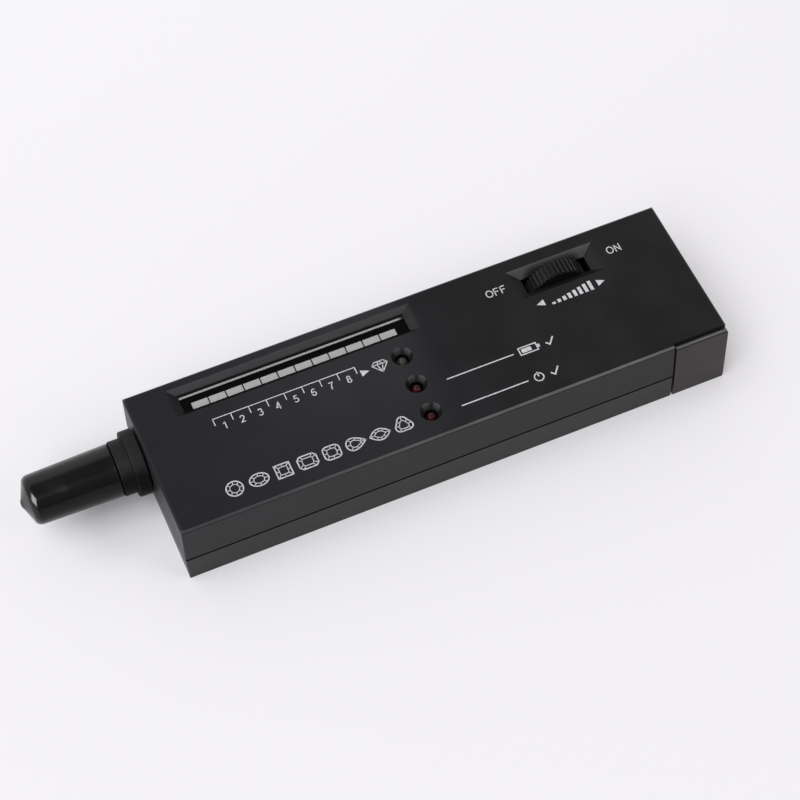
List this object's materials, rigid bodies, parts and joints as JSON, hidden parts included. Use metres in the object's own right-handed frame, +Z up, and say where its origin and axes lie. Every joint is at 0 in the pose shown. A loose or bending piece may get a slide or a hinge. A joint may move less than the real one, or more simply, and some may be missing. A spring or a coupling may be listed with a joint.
{
  "type": "diamond tester pen",
  "caption": "Pen-shaped thermal gem tester: flat black case with a capped spring-loaded probe, a bar of scale lamps, round status lamps, a volume wheel and a slide-off battery cover.",
  "frame": {"origin": "middle of the whole object's length and width, on the face that lies on the table", "axes": "+X from the capped probe to the rear end, +Y to the side with the lamp scale and the wheel, +Z up out of the top face"},
  "size_m": [0.1894, 0.046, 0.024],
  "materials": {
    "case_black": "finely textured satin black moulding",
    "part_black": "satin black moulding",
    "cap_black": "smooth glossy black",
    "wheel_black": "satin black with grip ribs",
    "mask_black": "dead black",
    "tray_pale": "pale moulded plastic",
    "scale_lamp_grey": "pale diffusing lamp face",
    "lamp_green": "tinted lamp dome, unlit",
    "lamp_red": "tinted lamp dome, unlit",
    "ceramic": "off-white ceramic",
    "copper": "bare turned copper",
    "steel": "zinc-plated steel",
    "board_green": "green solder mask",
    "control_grey": "dark grey moulding",
    "trimmer_blue": "blue moulding",
    "capacitor_sleeve": "shrunk sleeve",
    "resistor_tan": "lacquered",
    "battery_can": "plain metal can",
    "wire_red": "red insulation",
    "wire_black": "black insulation",
    "wire_yellow": "yellow insulation"
  },
  "bodies": {
    "case": {"top_case": "case_black", "bottom_case": "case_black", "nose_collar": "case_black", "probe_barrel": "part_black", "probe_plug": "ceramic", "probe_spring": "steel", "circuit_board": "board_green", "lamp_tray": "tray_pale", "lamp_mask": "mask_black", "scale_lamps": "scale_lamp_grey", "result_lamp": "lamp_green", "battery_lamp": "lamp_red", "ready_lamp": "lamp_red", "lamp_spacers": "part_black", "volume_control": "control_grey", "driver_chips": "part_black", "amplifier_chip": "part_black", "trimmers": "trimmer_blue", "capacitors": "capacitor_sleeve", "resistors": "resistor_tan", "buzzer": "part_black", "battery": "battery_can", "battery_snap": "part_black", "snap_wire_red": "wire_red", "snap_wire_black": "wire_black", "probe_wires": "wire_yellow", "case_screws": "steel", "board_screws": "steel"},
    "wheel": {"volume_wheel": "wheel_black", "control_shaft": "steel", "wheel_screw": "steel"},
    "cover": {"battery_cover": "case_black"},
    "cap": {"probe_cap": "cap_black"},
    "tip": {"probe_tip": "copper", "tip_heater": "ceramic"}
  },
  "joints": [
    {"name": "volume_turn", "type": "hinge", "parent": "case", "child": "wheel", "pos_m": [0.0608, 0.01335, 0.0148], "axis": [0, 1, 0], "range_deg": [0, 285]},
    {"name": "cover_slide", "type": "slide", "parent": "case", "child": "cover", "axis": [1, 0, 0], "range_m": [0, 0.03]},
    {"name": "cap_pull", "type": "slide", "parent": "case", "child": "cap", "axis": [-1, 0, 0], "range_m": [0, 0.03]},
    {"name": "tip_press", "type": "slide", "parent": "case", "child": "tip", "axis": [1, 0, 0], "range_m": [0, 0.0015], "stiffness_N_per_m": 400, "springref_m": -0.002, "deforming": ["probe_spring"]}
  ]
}
